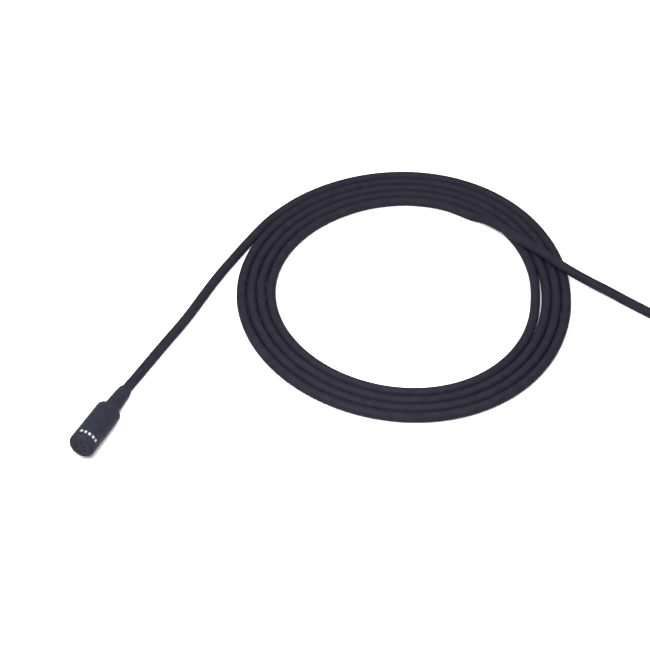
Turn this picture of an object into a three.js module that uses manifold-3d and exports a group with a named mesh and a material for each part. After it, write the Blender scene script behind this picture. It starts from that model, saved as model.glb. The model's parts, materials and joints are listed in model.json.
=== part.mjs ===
// Miniature lavalier microphone on a thin lead that ends in a locking 3.5 mm plug.
// Millimetres, +Z up, table at z = 0. The microphone lies with its axis in the Y-Z plane, grille
// towards -Y and tipped up, so that it rests on its rear shoulder and on the end of its sleeve.
import * as THREE from 'three';
import { mergeVertices } from 'three/addons/utils/BufferGeometryUtils.js';
import Module from 'manifold-3d';

const wasm = await Module();
wasm.setup();

// ---- Driving dimensions ---------------------------------------------------------------------
const BODY_R = 2.55;            // outside radius of cap and housing
const BODY_LENGTH = 11.1;       // grille face to rear shoulder
const FACE_R = 1.85;            // flat part of the grille face
const RIM_ROUND = 0.7;          // rounding of the front rim
const SHOULDER_ROUND = 0.5;     // rounding of the rear shoulder
const CAP_END = 4.2;            // rear edge of the grille cap
const SEAM = 0.06;              // hairline between cap and housing
const CAP_BORE_R = 2.36;
const FACE_WALL = 0.45;
const HOLE_COUNT = 6;
const HOLE_R = 0.17;
const HOLE_RING_R = 1.02;
const HOLE_CLOCK = 18;          // degrees of the first hole above the local X axis
const CAN_R = 2.1;              // electret capsule
const CAN_BORE_R = 1.98;
const CAN_FRONT = 1.05;
const CAN_REAR = 3.75;
const SLEEVE_R = 1.6;           // rubber sleeve where it leaves the housing
const SLEEVE_END_R = 1.3;
const SLEEVE_END = 17.9;
const CORD_R = 1.0;             // cable radius
const STUB_R = 0.97;            // the same cable inside the sleeves
const TILT = 10.1;                // degrees the grille is tipped up

const COIL_CENTRE = [40.7, 54.5];       // large flat coil
const COIL_INNER_R = 25.2;
const COIL_OUTER_R = 36.0;
const SPARE_CENTRE = [111.5, 46.5];     // small flat coil next to the plug
const SPARE_INNER_R = 7.4;
const SPARE_OUTER_R = 15.6;
const COIL_EDGE = 0.7;                  // rounding of a coil's edges

// Cable route, hand laid, from the sleeve to the large coil and from there to the plug.
const LEAD_ROUTE = [
  [0, 9.25, 1.2], [0.4, 12.5, 1.0], [1.3, 19.5, 1.0], [1.8, 23.2, 1.0], [2.35, 26.9, 1.0],
  [2.8, 30.5, 1.0], [3.1, 34.2, 1.0], [3.35, 38.0, 1.0], [3.65, 41.8, 1.0], [4.1, 46.0, 1.0],
];
const TAIL_ROUTE = [
  [49.2, 80.2, 3.3], [54.0, 78.0, 3.3], [58.6, 75.4, 3.3], [63.0, 73.6, 3.3], [67.8, 71.4, 3.3],
  [71.6, 70.2, 3.3], [74.2, 69.95, 2.9], [78.0, 69.4, 1.4], [80.8, 68.7, 1.0], [84.0, 67.7, 1.0], [89.4, 66.0, 1.0],
  [94.6, 64.4, 1.0], [99.6, 62.9, 1.0], [104.0, 61.8, 1.0],
];
const END_ROUTE = [
  [122.2, 51.6, 3.3], [124.6, 46.4, 3.3], [125.6, 41.7, 3.5], [126.0, 37.6, 3.9], [126.0, 34.6, 4.2],
];

// Plug, along its own axis from the tip (0) towards the cable.
const PLUG_X = 126.0;
const PLUG_TAIL_Y = 34.3;       // cable end of the boot
const PLUG_LENGTH = 44.0;
const CONTACT_R = 1.75;         // 3.5 mm plug
const SLEEVE_FRONT = 7.3;
const COLLAR_FRONT = 14.3;
const RING_R = 4.3;             // knurled lock ring
const RING_FRONT = 12.6;
const RING_REAR = 20.4;
const BARREL_R = 2.7;
const SHELL_FRONT = 20.8;
const SHELL_REAR = 33.0;
const SHELL_R = 3.7;
const KNURL_COUNT = 24;

// ---- Materials ------------------------------------------------------------------------------
const material = (color, roughness, metalness) =>
  () => new THREE.MeshStandardMaterial({ color, roughness, metalness });
const satinBlack = material(0x202026, 0.5, 0.3);
const rubberBlack = material(0x1b1b1e, 0.8, 0);
const plasticBlack = material(0x17171a, 0.6, 0);
const plasticWhite = material(0xe8e4da, 0.6, 0);
const steel = material(0xb9bcc0, 0.35, 1);
const brass = material(0xc9a650, 0.35, 1);
const gold = material(0xd9b45a, 0.25, 1);
const film = material(0xcfcfc8, 0.3, 0.4);
const boardGreen = material(0x1f5a3a, 0.6, 0);
const felt = material(0x3a3a3e, 0.95, 0);
const paleInk = material(0xdedee2, 0.6, 0);
const wireRed = material(0xa02020, 0.6, 0);
const wireBare = material(0xb87a4a, 0.4, 1);

// ---- Geometry helpers -----------------------------------------------------------------------
const rad = (degrees) => degrees * Math.PI / 180;

/** Welded copy with positions only, no collapsed triangles, wound outward. */
function tidyMesh(geometry) {
  const bare = new THREE.BufferGeometry();
  bare.setAttribute('position', geometry.getAttribute('position').clone());
  if (geometry.index) bare.setIndex(geometry.index.clone());
  const welded = mergeVertices(bare, 1e-4);
  const p = welded.getAttribute('position');
  const faces = [];
  let volume = 0;
  for (let i = 0; i < welded.index.count; i += 3) {
    const [a, b, c] = [0, 1, 2].map((k) => welded.index.getX(i + k));
    if (a === b || b === c || c === a) continue;
    faces.push([a, b, c]);
    const [A, B, C] = [a, b, c].map((k) => new THREE.Vector3().fromBufferAttribute(p, k));
    volume += A.dot(B.cross(C));
  }
  if (volume < 0) faces.forEach((f) => f.reverse());
  welded.setIndex(faces.flat());
  return welded;
}

/** Solid of revolution about Y from [radius, y] points; the profile closes on itself. */
function turned(profile, segments = 24) {
  const points = profile.map(([r, y]) => new THREE.Vector2(r, y));
  if (profile[0][0] > 0 || profile.at(-1)[0] > 0) points.push(points[0].clone());
  return tidyMesh(new THREE.LatheGeometry(points, segments));
}

/** Tube or washer between two radii. */
const ringSolid = (inner, outer, y0, y1, segments = 24) =>
  turned([[inner, y0], [outer, y0], [outer, y1], [inner, y1]], segments);

/** Disc or rod. */
const rodSolid = (r, y0, y1, segments = 24) => turned([[0, y0], [r, y0], [r, y1], [0, y1]], segments);

/** Points of an arc about (r, y), for a profile. */
function arc(r, y, size, from, to, steps) {
  return Array.from({ length: steps + 1 }, (_, i) => {
    const a = rad(from + (to - from) * i / steps);
    return [r + size * Math.cos(a), y + size * Math.sin(a)];
  });
}

function toSolid(geometry) {
  const g = tidyMesh(geometry);
  return new wasm.Manifold(new wasm.Mesh({
    numProp: 3,
    vertProperties: new Float32Array(g.getAttribute('position').array),
    triVerts: new Uint32Array(g.index.array),
  }));
}

function fromSolid(solid) {
  const mesh = solid.getMesh();
  const g = new THREE.BufferGeometry();
  g.setAttribute('position', new THREE.BufferAttribute(new Float32Array(mesh.vertProperties), 3));
  g.setIndex([...mesh.triVerts]);
  return tidyMesh(g);
}

/** First geometry with the others cut away. */
const cut = (geometry, tools) =>
  fromSolid(tools.reduce((solid, tool) => solid.subtract(toSolid(tool)), toSolid(geometry)));

const common = (a, b) => fromSolid(toSolid(a).intersect(toSolid(b)));

/** Round cable of radius r along hand-laid points. */
function cable(points, r, sides = 8, step = 4.5) {
  const curve = new THREE.CatmullRomCurve3(points.map((p) => new THREE.Vector3(...p)), false, 'centripetal');
  const section = new THREE.Shape(Array.from({ length: sides }, (_, i) => {
    const a = 2 * Math.PI * (i + 0.5) / sides;
    return new THREE.Vector2(r * Math.cos(a), r * Math.sin(a));
  }));
  const steps = Math.max(2, Math.round(curve.getLength() / step));
  return tidyMesh(new THREE.ExtrudeGeometry(section, { steps, extrudePath: curve, bevelEnabled: false }));
}

const part = new THREE.Group();
part.name = 'lavalier_microphone';

function add(name, geometry, makeMaterial) {
  const mesh = new THREE.Mesh(geometry, makeMaterial());
  mesh.name = name;
  part.add(mesh);
  return mesh;
}

// ---- Microphone, built along +Y from the grille face ----------------------------------------
function grilleCap() {
  const shell = turned([
    [0, 0], [FACE_R, 0], ...arc(FACE_R, RIM_ROUND, RIM_ROUND, -75, 0, 5),
    [BODY_R, CAP_END], [CAP_BORE_R, CAP_END], [CAP_BORE_R, FACE_WALL], [0, FACE_WALL],
  ], 48);
  const drills = Array.from({ length: HOLE_COUNT }, (_, i) => {
    const a = rad(HOLE_CLOCK + 360 * i / HOLE_COUNT);
    return rodSolid(HOLE_R, -1, 1, 12).translate(HOLE_RING_R * Math.cos(a), 0, HOLE_RING_R * Math.sin(a));
  });
  return cut(shell, drills);
}

/** Plain pale arc on the cap, just behind the front rim and a little to the right of its top. */
function indexMark() {
  const [y0, y1, thickness, halfWidth, turn] = [1.4, 2.05, 0.03, 1.7, 26];
  const band = ringSolid(BODY_R + 0.005, BODY_R + thickness, y0, y1, 48);
  return common(band, new THREE.BoxGeometry(2 * halfWidth, 4, 4).translate(0, y0, 3))
    .rotateY(rad(turn));
}

function housing() {
  const [spigotR, spigotFront, boreR, wallFront, sleeveBoreR] = [2.32, 3.3, 2.15, 10.3, 1.62];
  return turned([
    [spigotR, spigotFront], [spigotR, CAP_END + SEAM], [BODY_R, CAP_END + SEAM],
    ...arc(BODY_R - SHOULDER_ROUND, BODY_LENGTH - SHOULDER_ROUND, SHOULDER_ROUND, 0, 90, 6),
    [sleeveBoreR, BODY_LENGTH], [sleeveBoreR, wallFront], [boreR, wallFront], [boreR, spigotFront],
  ], 48);
}

function capsule() {
  const [inletR, canWall] = [0.45, 0.12];
  add('capsule_can', turned([
    [inletR, CAN_FRONT], [CAN_R, CAN_FRONT], [CAN_R, CAN_REAR], [CAN_BORE_R, CAN_REAR],
    [CAN_BORE_R, CAN_FRONT + canWall], [inletR, CAN_FRONT + canWall],
  ]), steel);
  add('diaphragm_ring', ringSolid(1.5, 1.93, 1.2, 1.42), brass);
  add('diaphragm', rodSolid(1.93, 1.45, 1.49), film);
  add('diaphragm_spacer', ringSolid(1.6, 1.93, 1.52, 1.6), plasticWhite);
  const vents = [0, 1, 2, 3].map((i) => {
    const a = rad(45 + 90 * i);
    return rodSolid(0.2, 1, 3, 10).translate(0.95 * Math.cos(a), 0, 0.95 * Math.sin(a));
  });
  add('backplate', cut(rodSolid(1.7, 1.63, 1.95), vents), brass);
  add('backplate_holder', ringSolid(1.73, 1.93, 1.63, 2.9), plasticWhite);
  add('gate_contact', ringSolid(1.45, 1.68, 1.98, 2.9), gold);
  add('amplifier_chip', new THREE.BoxGeometry(1.2, 0.5, 0.8).translate(0, 2.62, 0), plasticBlack);
  add('capsule_board', rodSolid(1.93, 2.94, 3.34), boardGreen);
  for (const [side, x] of [['signal', -0.8], ['ground', 0.8]]) {
    add(`solder_pad_${side}`, rodSolid(0.35, 3.37, 3.55, 16).translate(x, 0, 0), steel);
  }
}

function microphone() {
  add('grille_cap', grilleCap(), satinBlack);
  add('index_mark', indexMark(), paleInk);
  add('acoustic_mesh', rodSolid(2.3, 0.5, 0.6), steel);
  add('felt_disc', rodSolid(2.3, 0.65, 0.98), felt);
  capsule();
  add('capsule_gasket', ringSolid(CAN_R + 0.03, CAP_BORE_R - 0.04, 1.3, 3.2), rubberBlack);
  add('housing', housing(), satinBlack);
  add('capsule_retainer', ringSolid(1.6, 2.11, 3.8, 5.0), plasticBlack);
  for (const [name, x, make] of [['signal_wire', -1, wireRed], ['ground_wire', 1, wireBare]]) {
    add(name, cable([[0.8 * x, 3.6, 0], [0.8 * x, 5.2, 0], [0.35 * x, 6.9, 0], [0.3 * x, 8.0, 0]], 0.2, 8, 1), make);
  }
  add('cable_stub', rodSolid(STUB_R, 8.1, SLEEVE_END, 24), rubberBlack);
  add('crimp_ferrule', ringSolid(STUB_R + 0.05, 1.32, 8.3, 9.4), brass);
  add('strain_sleeve', turned([
    [STUB_R + 0.03, 9.55], [2.1, 9.55], [2.1, 10.25], [SLEEVE_R, 10.25], [SLEEVE_R, BODY_LENGTH],
    [SLEEVE_END_R, SLEEVE_END - 0.25], [1.13, SLEEVE_END], [STUB_R + 0.03, SLEEVE_END],
  ], 32), rubberBlack);

  // Tip the grille up, set the lowest point on the table and centre the length on Y = 0.
  const box = new THREE.Box3();
  for (const mesh of part.children) {
    mesh.geometry.rotateX(rad(-TILT));
    mesh.geometry.computeBoundingBox();
    box.union(mesh.geometry.boundingBox);
  }
  for (const mesh of part.children) {
    mesh.geometry.translate(0, -(box.min.y + box.max.y) / 2, -box.min.z);
  }
}

// ---- Cable ----------------------------------------------------------------------------------
/** One flat coil as a single ring lying on the table. */
function coilRing([x, y], inner, outer) {
  const e = COIL_EDGE;
  const height = 2 * CORD_R;
  const ring = turned([
    [inner + e, 0], [outer - e, 0], [outer, e], [outer, height - e],
    [outer - e, height], [inner + e, height], [inner, height - e], [inner, e],
  ], 48);
  return ring.rotateX(rad(90)).translate(x, y, 0);
}

function cord() {
  add('cable_lead', cable(LEAD_ROUTE, CORD_R), rubberBlack);
  add('cable_coil', coilRing(COIL_CENTRE, COIL_INNER_R, COIL_OUTER_R), rubberBlack);
  add('cable_tail', cable(TAIL_ROUTE, CORD_R), rubberBlack);
  add('spare_coil', coilRing(SPARE_CENTRE, SPARE_INNER_R, SPARE_OUTER_R), rubberBlack);
  add('cable_end', cable(END_ROUTE, CORD_R), rubberBlack);
}

// ---- Plug, built along +Y from the tip ------------------------------------------------------
function lockRing() {
  const [threadR, webFront, webRear, boreR, chamfer] = [3.15, 16.6, 18.2, BARREL_R + 0.08, 0.35];
  const body = turned([
    [threadR, RING_FRONT], [RING_R - chamfer, RING_FRONT], [RING_R, RING_FRONT + chamfer],
    [RING_R, RING_REAR - chamfer], [RING_R - chamfer, RING_REAR], [threadR, RING_REAR],
    [threadR, webRear], [boreR, webRear], [boreR, webFront], [threadR, webFront],
  ], 48);
  const grooves = Array.from({ length: KNURL_COUNT }, (_, i) => {
    const a = 2 * Math.PI * (i + 0.5) / KNURL_COUNT;
    const blade = new THREE.BoxGeometry(0.32, RING_REAR - RING_FRONT - 1.6, 0.32).rotateY(rad(45));
    return blade.translate(RING_R * Math.cos(a), (RING_FRONT + RING_REAR) / 2, RING_R * Math.sin(a));
  });
  return cut(body, grooves);
}

function plugContacts() {
  add('plug_tip', turned([
    [0, 0], [0.7, 0.12], [1.25, 0.7], [CONTACT_R, 1.9], [1.35, 2.7], [CONTACT_R, 3.5],
    [CONTACT_R, 3.65], [0.45, 3.65], [0.45, 24], [0, 24],
  ], 24), gold);
  add('tip_insulator', turned([
    [0.5, 3.7], [CONTACT_R, 3.7], [CONTACT_R, 4.2], [0.8, 4.2], [0.8, 23.4], [0.5, 23.4],
  ], 24), plasticBlack);
  add('plug_ring', turned([
    [0.85, 4.25], [CONTACT_R, 4.25], [CONTACT_R, 6.6], [1.08, 6.6], [1.08, 22.8], [0.85, 22.8],
  ], 24), gold);
  add('ring_insulator', turned([
    [1.13, 6.65], [CONTACT_R, 6.65], [CONTACT_R, 7.2], [1.3, 7.2], [1.3, 22.2], [1.13, 22.2],
  ], 24), plasticBlack);
  add('plug_barrel', turned([
    [1.35, SLEEVE_FRONT], [CONTACT_R, SLEEVE_FRONT], [CONTACT_R, COLLAR_FRONT], [3.0, COLLAR_FRONT],
    [3.0, 16.2], [BARREL_R, 16.2], [BARREL_R, SHELL_FRONT + 3.2], [1.35, SHELL_FRONT + 3.2],
  ], 48), steel);
}

function plug() {
  const first = part.children.length;
  plugContacts();
  add('lock_ring', lockRing(), satinBlack);
  add('backshell', turned([
    [2.8, SHELL_FRONT], [SHELL_R - 0.3, SHELL_FRONT], [SHELL_R, SHELL_FRONT + 0.3],
    [SHELL_R, SHELL_REAR - 0.8], [SHELL_R - 0.6, SHELL_REAR], [2.3, SHELL_REAR],
    [2.3, SHELL_REAR - 0.9], [2.8, SHELL_REAR - 0.9],
  ], 48), satinBlack);
  add('cable_clamp', ringSolid(STUB_R + 0.05, 1.4, 28.2, 30.2, 24), brass);
  add('plug_boot', turned([
    [STUB_R + 0.03, 31.2], [2.7, 31.2], [2.7, 32.05], [2.25, 32.05], [2.25, SHELL_REAR + 0.4],
    [1.45, PLUG_LENGTH - 0.3], [1.2, PLUG_LENGTH], [STUB_R + 0.03, PLUG_LENGTH],
  ], 32), rubberBlack);
  add('plug_cable_stub', rodSolid(STUB_R, 27.6, PLUG_LENGTH, 24), rubberBlack);
  add('plug_signal_wire', cable([[0, 24.15, 0], [0, 25.4, 0], [0, 26.4, 0], [0, 27.5, 0]], 0.2, 8, 1), wireRed);
  add('plug_ground_wire', cable([[1.9, 24.2, 0], [1.7, 25.2, 0], [0.9, 26.6, 0], [0.7, 27.5, 0]], 0.2, 8, 1), wireBare);
  for (const mesh of part.children.slice(first)) {
    mesh.geometry.translate(PLUG_X, PLUG_TAIL_Y - PLUG_LENGTH, RING_R);
  }
}

microphone();
cord();
plug();

export default part;
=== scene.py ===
"""Looks for the miniature lavalier microphone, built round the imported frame. Metres, +Z up."""
import json
import math

import bmesh
import bpy
from mathutils import Matrix, Vector


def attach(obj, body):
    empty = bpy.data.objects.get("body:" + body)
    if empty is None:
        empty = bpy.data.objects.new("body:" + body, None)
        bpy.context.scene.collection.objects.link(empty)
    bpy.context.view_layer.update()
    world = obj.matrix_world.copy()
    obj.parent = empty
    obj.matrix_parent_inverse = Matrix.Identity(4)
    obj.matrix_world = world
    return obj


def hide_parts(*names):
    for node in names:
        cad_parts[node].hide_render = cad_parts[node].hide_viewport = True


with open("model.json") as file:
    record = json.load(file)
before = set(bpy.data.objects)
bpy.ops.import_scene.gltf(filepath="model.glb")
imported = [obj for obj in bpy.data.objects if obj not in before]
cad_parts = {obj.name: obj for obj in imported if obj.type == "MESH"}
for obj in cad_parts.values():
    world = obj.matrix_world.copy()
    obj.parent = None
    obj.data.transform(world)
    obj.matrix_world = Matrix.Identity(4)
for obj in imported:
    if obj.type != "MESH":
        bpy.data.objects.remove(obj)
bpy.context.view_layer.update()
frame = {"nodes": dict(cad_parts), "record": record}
scene = bpy.context.scene
MM = 0.001
TAU = 2 * math.pi

# ---- Camera ---------------------------------------------------------------------------------
LOOK_AT = Vector((29.11, 39.67, 0.0)) * MM
AZIMUTH, ELEVATION, DISTANCE = math.radians(21.5), math.radians(47.49), 285 * MM
LENS = 78.19

camera = bpy.data.objects.new("camera", bpy.data.cameras.new("camera"))
scene.collection.objects.link(camera)
back = Vector((math.sin(AZIMUTH) * math.cos(ELEVATION), -math.cos(AZIMUTH) * math.cos(ELEVATION),
               math.sin(ELEVATION)))
camera.location = LOOK_AT + back * DISTANCE
camera.rotation_mode = "QUATERNION"
camera.rotation_quaternion = (-back).to_track_quat("-Z", "Y")
camera.data.sensor_width, camera.data.lens = 36, LENS
camera.data.clip_start, camera.data.clip_end = 0.01, 10
scene.camera = camera

# ---- Frames of the two hard ends, from the record -------------------------------------------
record = frame["record"]
face = record["mounts"][0]
face_at, face_out = Vector(face["pos_m"]), Vector(face["axis"])
joint = record["behaviour"]["joints"][0]


def axis_frame(origin, along):
    """Matrix from local space, with the turning axis along +Y, to the row frame."""
    y = along.normalized()
    x = Vector((1, 0, 0))
    z = x.cross(y)
    m = Matrix((x, y, z)).transposed().to_4x4()
    m.translation = origin
    return m


MIC = axis_frame(face_at, -face_out)
SLEEVE_END = 17.9            # mm from the grille face to the end of the strain relief
RING_MIDDLE = 16.5           # mm from the plug's tip to the lock ring's middle
PLUG = axis_frame(Vector(joint["pos_m"]) - Vector((0, RING_MIDDLE * MM, 0)), Vector((0, 1, 0)))

# ---- Cable route ----------------------------------------------------------------------------
CORD_R = 1.0 * MM
LEAD_ROUTE = [
    (0.4, 12.5, 1.0), (1.3, 19.5, 1.0), (1.8, 23.2, 1.0), (2.35, 26.9, 1.0), (2.8, 30.5, 1.0),
    (3.1, 34.2, 1.0), (3.35, 38.0, 1.0), (3.65, 41.8, 1.0), (4.1, 45.7, 1.0), (4.7, 49.7, 1.0),
    (5.35, 53.9, 1.0), (6.1, 58.1, 1.0),
]
CROSSING = [
    (49.3, 79.9, 1.4), (51.8, 78.95, 1.95), (54.1, 77.9, 2.35), (56.3, 76.6, 2.7), (58.6, 75.3, 3.0),
    (60.9, 74.4, 3.05), (63.0, 73.55, 3.05), (66.2, 72.15, 3.05), (69.0, 70.75, 3.05),
]
TAIL_ROUTE = [
    (71.7, 69.9, 2.8), (74.4, 69.35, 2.35), (77.2, 68.95, 1.85), (80.6, 68.4, 1.4), (84.1, 67.5, 1.1),
    (89.4, 66.0, 1.0), (94.6, 64.4, 1.0), (99.6, 62.9, 1.0), (104.0, 61.8, 1.0), (108.6, 60.9, 1.0),
]
SPARE_CROSSING = [(116.8, 54.3, 1.75), (119.6, 52.4, 2.8), (122.2, 50.0, 3.1), (124.2, 46.9, 3.15)]
END_ROUTE = [(125.5, 43.0, 3.4), (126.0, 38.8, 3.95)]
COIL_CENTRE = (40.75, 54.45)
COIL_START = 165             # bearing where the lead joins the coil, degrees
COIL_TURNS, COIL_STEPS = 4.25, 24
COIL_PITCH, COIL_SLACK, SLACK_BEARING = 2.02, 0.05, 140     # turns lie a little looser at this bearing
COIL_R = 34.9                # middle of the outermost turn, where the coil is round
COIL_LOBES = ((1, 0.35, 255), (2, 0.3, 95), (3, 0.4, 80))   # crests a turn, height, a crest's bearing
LOOSE_STEP, LOOSE_GAP, LOOSE_STEPS = 82, 0.24, 1.4          # gap inside the last turn
SPARE_CENTRE = (111.5, 46.5)
SPARE_START, SPARE_R, SPARE_PITCH = 75, 14.6, 2.05
SPARE_TURNS, SPARE_STEPS = 2.95, 16
BOOT_END, CABLE_IN_BOOT = 44.0, 3.0      # mm from the plug's tip, mm of cable inside the boot
CABLE_IN_SLEEVE = 1.5                    # mm of cable inside the strain relief
POINT_SPACING, EASE_PASSES = 1.1, 6


def along(place, y):
    """Point in mm that lies y mm along the axis of a hard end."""
    return tuple(place @ Vector((0, y * MM, 0)) / MM)


def coil_point(step):
    """Point on the large coil, laid clockwise from the outside in."""
    turn = step / COIL_STEPS
    b = math.radians(COIL_START - 360 * turn)
    pitch = COIL_PITCH + COIL_SLACK * max(0, math.cos(b - math.radians(SLACK_BEARING))) ** 2
    r = COIL_R + sum(high * math.cos(n * (b - math.radians(crest))) for n, high, crest in COIL_LOBES)
    r -= pitch * turn + LOOSE_GAP * max(0, 1 - abs(step - LOOSE_STEP) / LOOSE_STEPS)
    return (COIL_CENTRE[0] + r * math.cos(b), COIL_CENTRE[1] + r * math.sin(b), 1.0)


def spare_point(step):
    """Point on the small coil that holds the length out of the photo."""
    turn = step / SPARE_STEPS
    b, r = math.radians(SPARE_START - 360 * turn), SPARE_R - SPARE_PITCH * turn
    return (SPARE_CENTRE[0] + r * math.cos(b), SPARE_CENTRE[1] + r * math.sin(b), 1.0)


def route():
    """Points of the whole cable in mm, from inside the strain relief to inside the plug's boot."""
    points = [along(MIC, SLEEVE_END - CABLE_IN_SLEEVE), along(MIC, SLEEVE_END)] + LEAD_ROUTE
    points += [coil_point(step) for step in range(int(COIL_TURNS * COIL_STEPS) + 1)]
    points += CROSSING + TAIL_ROUTE
    points += [spare_point(step) for step in range(int(SPARE_TURNS * SPARE_STEPS) + 1)]
    points += SPARE_CROSSING + END_ROUTE
    return points + [along(PLUG, BOOT_END), along(PLUG, BOOT_END - CABLE_IN_BOOT)]


def spline(points, spacing):
    """Points at even spacing on a smooth curve through the given ones."""
    pts = [Vector(p) for p in points]
    pts = [2 * pts[0] - pts[1]] + pts + [2 * pts[-1] - pts[-2]]
    line = []
    for i in range(1, len(pts) - 2):
        p0, p1, p2, p3 = pts[i - 1:i + 3]
        t = [0.0]
        for a, b in ((p0, p1), (p1, p2), (p2, p3)):
            t.append(t[-1] + math.sqrt((b - a).length))
        n = max(2, int((p2 - p1).length / 0.25))
        for k in range(n):
            u = t[1] + (t[2] - t[1]) * k / n
            a1 = p0.lerp(p1, (u - t[0]) / (t[1] - t[0]))
            a2 = p1.lerp(p2, (u - t[1]) / (t[2] - t[1]))
            a3 = p2.lerp(p3, (u - t[2]) / (t[3] - t[2]))
            b1 = a1.lerp(a2, (u - t[0]) / (t[2] - t[0]))
            b2 = a2.lerp(a3, (u - t[1]) / (t[3] - t[1]))
            line.append(b1.lerp(b2, (u - t[1]) / (t[2] - t[1])))
    line.append(pts[-2])
    for _ in range(EASE_PASSES):     # ease the joints between the listed stretches
        line = [line[0]] + [(line[i - 1] + 2 * line[i] + line[i + 1]) / 4
                            for i in range(1, len(line) - 1)] + [line[-1]]
    total = sum((b - a).length for a, b in zip(line, line[1:]))
    count = round(total / spacing)
    out, walked, i = [line[0]], 0.0, 0
    for k in range(1, count):
        goal = total * k / count
        while walked + (line[i + 1] - line[i]).length < goal:
            walked += (line[i + 1] - line[i]).length
            i += 1
        step = (line[i + 1] - line[i]).length
        out.append(line[i].lerp(line[i + 1], (goal - walked) / step))
    return out + [line[-1]]


# ---- Materials ------------------------------------------------------------------------------
def shade(name, dark, light, rough=(0.5, 0.6), metallic=0.0, cell=0.4, grain=0.08, bump_mm=0.01,
          stretch=(1, 1, 1), specular=0.5, sheen=0.0, pattern="NOISE"):
    """Procedural material: mottled colour, uneven gloss and a fine surface relief."""
    m = bpy.data.materials.new(name)
    m.use_nodes = True
    nodes, links = m.node_tree.nodes, m.node_tree.links
    bsdf = nodes["Principled BSDF"]
    bsdf.inputs["Metallic"].default_value = metallic
    bsdf.inputs["Specular IOR Level"].default_value = specular
    bsdf.inputs["Sheen Weight"].default_value = sheen
    bsdf.inputs["Sheen Roughness"].default_value = 0.5
    place = nodes.new("ShaderNodeTexCoord")
    mapping = nodes.new("ShaderNodeMapping")
    mapping.inputs["Scale"].default_value = stretch
    links.new(place.outputs["Object"], mapping.inputs["Vector"])

    def noise(size_mm, detail):
        n = nodes.new("ShaderNodeTexNoise")
        n.inputs["Scale"].default_value = 1 / (size_mm * MM)
        n.inputs["Detail"].default_value = detail
        links.new(mapping.outputs["Vector"], n.inputs["Vector"])
        return n.outputs["Fac"]

    patch = noise(cell * 4, 3)
    ramp = nodes.new("ShaderNodeValToRGB")
    ramp.color_ramp.elements[0].position, ramp.color_ramp.elements[1].position = 0.3, 0.7
    ramp.color_ramp.elements[0].color = (*dark, 1)
    ramp.color_ramp.elements[1].color = (*light, 1)
    links.new(patch, ramp.inputs["Fac"])
    links.new(ramp.outputs["Color"], bsdf.inputs["Base Color"])
    gloss = nodes.new("ShaderNodeMapRange")
    gloss.inputs["From Min"].default_value, gloss.inputs["From Max"].default_value = 0.3, 0.7
    gloss.inputs["To Min"].default_value, gloss.inputs["To Max"].default_value = rough
    links.new(noise(cell, 4), gloss.inputs["Value"])
    links.new(gloss.outputs["Result"], bsdf.inputs["Roughness"])
    if pattern == "WEAVE":
        height = weave(nodes, links, place, grain)
    else:
        height = noise(grain, 2)
    relief = nodes.new("ShaderNodeBump")
    relief.inputs["Strength"].default_value = 0.6
    relief.inputs["Distance"].default_value = bump_mm * MM
    links.new(height, relief.inputs["Height"])
    links.new(relief.outputs["Normal"], bsdf.inputs["Normal"])
    return m


def weave(nodes, links, place, size_mm):
    """Height of crossed wires."""
    waves = []
    for direction in ("X", "Z"):
        w = nodes.new("ShaderNodeTexWave")
        w.bands_direction = direction
        w.inputs["Scale"].default_value = 1 / (size_mm * MM) / 20
        links.new(place.outputs["Object"], w.inputs["Vector"])
        waves.append(w.outputs["Fac"])
    top = nodes.new("ShaderNodeMath")
    top.operation = "MAXIMUM"
    links.new(waves[0], top.inputs[0])
    links.new(waves[1], top.inputs[1])
    return top.outputs["Value"]


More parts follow.
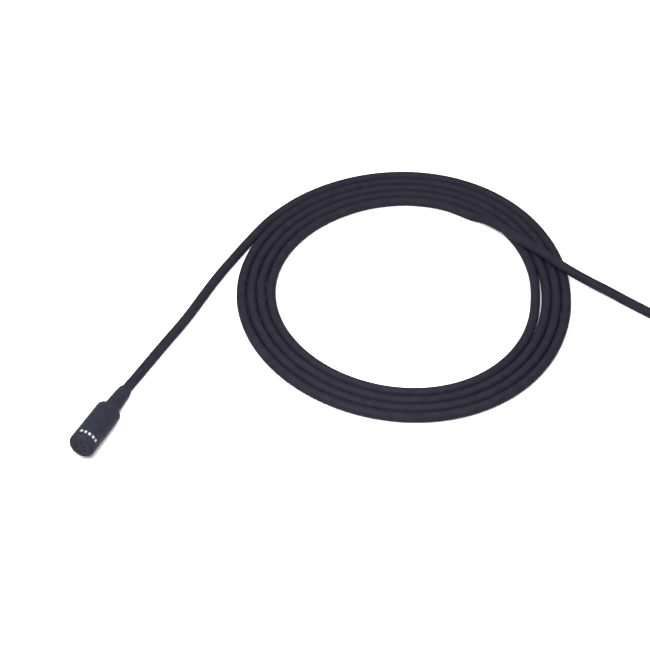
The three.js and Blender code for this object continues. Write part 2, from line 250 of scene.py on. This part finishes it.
MATERIALS = {
    "satin_black": shade("satin_black", (0.0102, 0.0108, 0.0166), (0.0142, 0.015, 0.0222), (0.45, 0.55),
                         cell=0.3, grain=0.05, bump_mm=0.004, specular=0.02),
    "cable_black": shade("cable_black", (0.0089, 0.0083, 0.0126), (0.0121, 0.0115, 0.0167), (0.52, 0.64),
                         cell=0.5, grain=0.12, bump_mm=0.008, specular=0.02),
    "rubber_black": shade("rubber_black", (0.0108, 0.0108, 0.0168), (0.0144, 0.0144, 0.0214), (0.5, 0.6),
                          cell=0.4, grain=0.09, bump_mm=0.008, specular=0.02),
    "plastic_black": shade("plastic_black", (0.02, 0.02, 0.022), (0.028, 0.028, 0.03), (0.4, 0.55),
                           cell=0.3, grain=0.06),
    "plastic_white": shade("plastic_white", (0.7, 0.68, 0.62), (0.8, 0.78, 0.73), (0.4, 0.55),
                           cell=0.3, grain=0.06),
    "steel": shade("steel", (0.5, 0.5, 0.52), (0.62, 0.63, 0.65), (0.22, 0.36), metallic=1.0,
                   cell=0.3, grain=0.04, bump_mm=0.002, stretch=(1, 6, 1)),
    "mesh_wire": shade("mesh_wire", (0.3, 0.3, 0.32), (0.5, 0.5, 0.52), (0.3, 0.45), metallic=1.0,
                       cell=0.2, grain=0.09, bump_mm=0.03, pattern="WEAVE"),
    "brass": shade("brass", (0.5, 0.36, 0.14), (0.64, 0.48, 0.22), (0.25, 0.4), metallic=1.0,
                   cell=0.3, grain=0.05, bump_mm=0.003),
    "gold": shade("gold", (0.66, 0.46, 0.18), (0.8, 0.6, 0.28), (0.16, 0.28), metallic=1.0,
                  cell=0.4, grain=0.05, bump_mm=0.002, stretch=(1, 5, 1)),
    "film": shade("film", (0.55, 0.55, 0.52), (0.68, 0.68, 0.65), (0.2, 0.3), metallic=0.6, cell=0.4),
    "board": shade("board", (0.03, 0.16, 0.08), (0.05, 0.22, 0.11), (0.3, 0.45), cell=0.4, grain=0.1),
    "felt": shade("felt", (0.035, 0.035, 0.04), (0.08, 0.08, 0.085), (0.85, 0.98), cell=0.12,
                  grain=0.04, bump_mm=0.06, sheen=0.4),
    "ink": shade("ink", (0.17, 0.175, 0.19), (0.26, 0.265, 0.285), (0.5, 0.65), cell=0.12, grain=0.05),
    "wire_red": shade("wire_red", (0.4, 0.03, 0.03), (0.52, 0.05, 0.05), (0.35, 0.5), cell=0.2),
    "wire_bare": shade("wire_bare", (0.5, 0.25, 0.12), (0.62, 0.34, 0.17), (0.25, 0.4), metallic=1.0,
                       cell=0.15, grain=0.04),
}
slot_of = {s["node"]: s["material_slot"] for s in record["subparts"]}


def finish_with(obj, slot_name):
    """Gives a piece the material of the named slot."""
    obj.data.materials.clear()
    obj.data.materials.append(MATERIALS[slot_name])


# ---- Mesh helpers ---------------------------------------------------------------------------
def link_mesh(name, bm, sharp=35):
    bmesh.ops.recalc_face_normals(bm, faces=bm.faces)
    mesh = bpy.data.meshes.new(name)
    bm.to_mesh(mesh)
    bm.free()
    obj = bpy.data.objects.new(name, mesh)
    scene.collection.objects.link(obj)
    mesh.shade_smooth()
    mesh.set_sharp_from_angle(angle=math.radians(sharp))
    return obj


def rounded(profile, steps=4):
    """Profile in mm, with each corner that has a third value rounded by that much."""
    out = []
    n = len(profile)
    for i, p in enumerate(profile):
        r = p[2] if len(p) > 2 else 0
        here = Vector(p[:2])
        if not r or i in (0, n - 1) and profile[0][0] == 0:
            out.append(tuple(here))
            continue
        before, after = Vector(profile[i - 1][:2]), Vector(profile[(i + 1) % n][:2])
        a, b = (before - here).normalized(), (after - here).normalized()
        half = a.angle(b) / 2
        d = min(r / math.tan(half), (before - here).length * 0.49, (after - here).length * 0.49)
        start, end = here + a * d, here + b * d
        for k in range(steps + 1):
            t = k / steps
            out.append(tuple((1 - t) ** 2 * start + 2 * t * (1 - t) * here + t * t * end))
    return out


def turned(name, profile, place, segments=96, sharp=35):
    """Solid of revolution about local Y. profile is [(radius, y, rounding)] in mm."""
    bm = bmesh.new()
    rings = []
    for r, y in rounded(profile):
        if r < 1e-6:
            rings.append([bm.verts.new(place @ Vector((0, y * MM, 0)))])
            continue
        ring = []
        for k in range(segments):
            a = TAU * k / segments
            ring.append(bm.verts.new(place @ (Vector((r * math.cos(a), y, r * math.sin(a))) * MM)))
        rings.append(ring)
    pairs = list(zip(rings, rings[1:]))
    if len(rings[0]) > 1 and len(rings[-1]) > 1:
        pairs.append((rings[-1], rings[0]))
    for lower, upper in pairs:
        for k in range(segments):
            j = (k + 1) % segments
            if len(lower) == 1 and len(upper) == 1:
                break
            if len(lower) == 1:
                bm.faces.new((lower[0], upper[j], upper[k]))
            elif len(upper) == 1:
                bm.faces.new((lower[k], lower[j], upper[0]))
            else:
                bm.faces.new((lower[k], lower[j], upper[j], upper[k]))
    return link_mesh(name, bm, sharp)


def arc(r, y, size, start, end, steps):
    return [(r + size * math.cos(math.radians(start + (end - start) * i / steps)),
             y + size * math.sin(math.radians(start + (end - start) * i / steps)))
            for i in range(steps + 1)]


def cut(obj, tools):
    """Cuts the tools out of a piece and applies the result."""
    for tool in tools:
        mod = obj.modifiers.new("cut", "BOOLEAN")
        mod.operation, mod.solver, mod.object = "DIFFERENCE", "EXACT", tool
    shaped = bpy.data.meshes.new_from_object(obj.evaluated_get(bpy.context.evaluated_depsgraph_get()))
    obj.modifiers.clear()
    obj.data = shaped
    for tool in tools:
        bpy.data.objects.remove(tool)
    obj.data.shade_smooth()
    obj.data.set_sharp_from_angle(angle=math.radians(35))


# ---- Cable ----------------------------------------------------------------------------------
def make_cable():
    line = spline(route(), POINT_SPACING)
    curve = bpy.data.curves.new("cable", "CURVE")
    curve.dimensions = "3D"
    curve.bevel_depth = CORD_R
    curve.bevel_resolution = 6
    curve.use_fill_caps = True
    strand = curve.splines.new("POLY")
    strand.points.add(len(line) - 1)
    for point, place in zip(strand.points, line):
        point.co = (place.x * MM, place.y * MM, max(place.z * MM, CORD_R), 1)
    strand.use_smooth = True
    obj = bpy.data.objects.new("cable", curve)
    scene.collection.objects.link(obj)
    finish_with(obj, "cable_black")
    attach(obj, "microphone")
    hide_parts("cable_lead", "cable_coil", "cable_tail", "spare_coil", "cable_end")
    return obj


# ---- Microphone -----------------------------------------------------------------------------
def make_microphone():
    cap = turned("cap", [
        (0, 0), (1.7, 0), *arc(1.85, 0.7, 0.7, -84, 0, 10), (2.55, 4.2, 0.04), (2.36, 4.2),
        (2.36, 0.45), (0, 0.45)], MIC, 160)
    drills = []
    for i in range(6):
        a = math.radians(18 + 60 * i)
        place = MIC @ Matrix.Translation(Vector((math.cos(a), 0, math.sin(a))) * 1.02 * MM)
        drills.append(turned(f"drill_{i}", [(0, -0.5), (0.26, -0.5), (0.26, -0.02), (0.17, 0.06),
                                            (0.17, 0.8), (0, 0.8)], place, 24))
    cut(cap, drills)
    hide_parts("grille_cap")
    housing = turned("housing_shell", [
        (2.32, 3.3), (2.32, 4.24), (2.55, 4.24, 0.04), *arc(2.05, 10.6, 0.5, 0, 88, 8),
        (1.62, 11.1), (1.62, 10.3), (2.15, 10.3), (2.15, 3.3)], MIC, 160)
    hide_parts("housing")
    sleeve = turned("strain_relief", [
        (1.0, 9.55), (2.1, 9.55), (2.1, 10.25), (1.6, 10.25), (1.6, 11.3), (1.56, 12.8),
        (1.48, 14.8), (1.4, 16.4), (1.3, 17.5, 0.3), (1.12, SLEEVE_END, 0.12), (1.0, SLEEVE_END)],
        MIC, 96)
    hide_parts("strain_sleeve")
    bars = make_bars()
    for obj, slot_name in ((cap, "satin_black"), (housing, "satin_black"), (sleeve, "rubber_black"),
                           (bars, "ink")):
        finish_with(obj, slot_name)
        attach(obj, "microphone")


def make_bars():
    """Row of plain pale bars printed on the cap behind the rim, in place of any lettering."""
    bm = bmesh.new()
    r0, r1 = 2.552, 2.568
    widths = (12, 10, 11, 12, 10)        # degrees
    gap, bearing = 8.0, 108.0
    y0, y1 = 1.42, 2.02
    for width in widths:
        steps = 6
        columns = []
        for k in range(steps + 1):
            a = math.radians(bearing - width * k / steps)
            columns.append([bm.verts.new(MIC @ (Vector((r * math.cos(a), y, r * math.sin(a))) * MM))
                            for r, y in ((r0, y0), (r1, y0), (r1, y1), (r0, y1))])
        for a, b in zip(columns, columns[1:]):
            for k in range(4):
                j = (k + 1) % 4
                bm.faces.new((a[k], a[j], b[j], b[k]))
        bm.faces.new(columns[0])
        bm.faces.new(columns[-1][::-1])
        bearing -= width + gap
    bars = link_mesh("printed_bars", bm)
    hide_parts("index_mark")
    return bars


# ---- Plug -----------------------------------------------------------------------------------
def make_plug():
    ring = turned("knurled_ring", [
        (3.15, 12.6, 0.1), (4.05, 12.6, 0.25), (4.2, 13.1, 0.1), (4.2, 19.9, 0.1), (4.05, 20.4, 0.25),
        (3.15, 20.4, 0.1), (3.15, 18.2), (2.78, 18.2), (2.78, 16.6), (3.15, 16.6)], PLUG, 96)
    knurl(ring)
    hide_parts("lock_ring")
    shell = turned("shell", [
        (2.8, 20.8), (3.45, 20.8, 0.12), (3.7, 21.1, 0.2), (3.7, 31.9, 0.4), (3.05, 33.0, 0.25),
        (2.3, 33.0, 0.1), (2.3, 32.1), (2.8, 32.1)], PLUG, 128)
    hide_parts("backshell")
    ribs = []
    for y in (34.6, 36.2, 37.8, 39.4, 41.0):      # flexible part, a groove between each two ribs
        r = 2.25 - 0.08 * (y - 33.4)
        ribs += [(r, y, 0.12), (r - 0.4, y + 0.12, 0.08), (r - 0.45, y + 0.5, 0.08),
                 (r - 0.07, y + 0.62, 0.12)]
    boot = turned("boot", [
        (1.0, 31.2), (2.7, 31.2), (2.7, 32.05), (2.25, 32.05), (2.25, 33.4, 0.3), *ribs,
        (1.42, 43.5, 0.2), (1.2, BOOT_END, 0.15), (1.0, BOOT_END)], PLUG, 96, 50)
    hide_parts("plug_boot")
    tip = turned("tip", [
        (0, 0), (0.45, 0.03), (0.95, 0.3), (1.35, 0.85), (1.68, 1.55), (1.75, 1.95, 0.15), (1.62, 2.3),
        (1.38, 2.7, 0.2), (1.45, 3.0), (1.75, 3.45, 0.1), (1.75, 3.65), (0.45, 3.65), (0.45, 24),
        (0, 24)], PLUG, 96)
    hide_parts("plug_tip")
    ring_contact = turned("ring_band", [
        (0.85, 4.25), (1.75, 4.25, 0.05), (1.75, 6.6, 0.05), (1.08, 6.6), (1.08, 22.8), (0.85, 22.8)],
        PLUG, 96)
    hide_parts("plug_ring")
    barrel = turned("barrel", [
        (1.35, 7.3), (1.75, 7.3, 0.06), (1.75, 14.3), (3.0, 14.3, 0.1), (3.0, 16.2, 0.1), (2.7, 16.2),
        (2.7, 24.0), (1.35, 24.0)], PLUG, 128)
    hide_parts("plug_barrel")
    bands = []
    for name, node, profile in (
            ("tip_band", "tip_insulator", [(0.5, 3.7), (1.72, 3.7, 0.04), (1.72, 4.2, 0.04), (0.8, 4.2),
                                           (0.8, 23.4), (0.5, 23.4)]),
            ("ring_spacer", "ring_insulator", [(1.13, 6.65), (1.72, 6.65, 0.04), (1.72, 7.2, 0.04),
                                               (1.3, 7.2), (1.3, 22.2), (1.13, 22.2)])):
        band = turned(name, profile, PLUG, 96)
        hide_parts(node)
        bands.append(band)
    for obj, slot_name in ((ring, "satin_black"), (shell, "satin_black"), (boot, "rubber_black"),
                           (tip, "gold"), (ring_contact, "gold"), (barrel, "steel"),
                           (bands[0], "plastic_black"), (bands[1], "plastic_black")):
        finish_with(obj, slot_name)
        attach(obj, "lock_ring" if obj is ring else "microphone")
    return [shell, boot, tip, ring_contact, barrel, ring] + bands


def knurl(ring):
    """Raised straight knurl on the middle of the ring, moved out of its own surface."""
    inverse = PLUG.inverted()
    bm = bmesh.new()
    bm.from_mesh(ring.data)
    band = []
    for f in bm.faces:
        places = [inverse @ v.co / MM for v in f.verts]
        if all(13.0 < p.y < 20.0 and math.hypot(p.x, p.z) > 4.1 for p in places):
            band.append(f)
    bmesh.ops.inset_individual(bm, faces=band, thickness=0.05 * MM, depth=0.08 * MM)
    bm.to_mesh(ring.data)
    bm.free()


# ---- Studio ---------------------------------------------------------------------------------
def area_light(name, at, aim, size, watts):
    light = bpy.data.lights.new(name, "AREA")
    light.shape, light.size, light.energy = "SQUARE", size, watts
    obj = bpy.data.objects.new(name, light)
    scene.collection.objects.link(obj)
    obj.location = Vector(at)
    obj.rotation_mode = "QUATERNION"
    obj.rotation_quaternion = (Vector(aim) - Vector(at)).to_track_quat("-Z", "Y")


def make_stage():
    bm = bmesh.new()
    bmesh.ops.create_grid(bm, x_segments=1, y_segments=1, size=3)
    floor = link_mesh("floor", bm)
    m = bpy.data.materials.new("floor")
    m.use_nodes = True
    bsdf = m.node_tree.nodes["Principled BSDF"]
    noise = m.node_tree.nodes.new("ShaderNodeTexNoise")
    noise.inputs["Scale"].default_value = 40
    ramp = m.node_tree.nodes.new("ShaderNodeValToRGB")
    ramp.color_ramp.elements[0].color = (0.82, 0.82, 0.82, 1)
    ramp.color_ramp.elements[1].color = (0.85, 0.85, 0.85, 1)
    m.node_tree.links.new(noise.outputs["Fac"], ramp.inputs["Fac"])
    m.node_tree.links.new(ramp.outputs["Color"], bsdf.inputs["Base Color"])
    bsdf.inputs["Roughness"].default_value = 0.9
    floor.data.materials.append(m)
    world = bpy.data.worlds.new("world")
    world.use_nodes = True
    world.node_tree.nodes["Background"].inputs["Color"].default_value = (1, 1, 1, 1)
    world.node_tree.nodes["Background"].inputs["Strength"].default_value = 0.45
    scene.world = world
    right = Vector((math.cos(AZIMUTH), math.sin(AZIMUTH), 0))
    front = Vector((math.sin(AZIMUTH), -math.cos(AZIMUTH), 0))
    aim = Vector((0.01, 0.035, 0))
    area_light("key", aim - right * 0.02 + front * 0.1 + Vector((0, 0, 0.2)), aim, 0.14, 1.3)
    area_light("top", LOOK_AT + Vector((0.01, 0.05, 0.7)), LOOK_AT, 0.8, 5.8)
    scene.view_settings.view_transform = "Standard"


cable = make_cable()
make_microphone()
plug_pieces = make_plug()
for node_name, obj in frame["nodes"].items():
    finish = "mesh_wire" if node_name == "acoustic_mesh" else slot_of[node_name]
    obj.data.materials.clear()
    obj.data.materials.append(MATERIALS[finish])
make_stage()
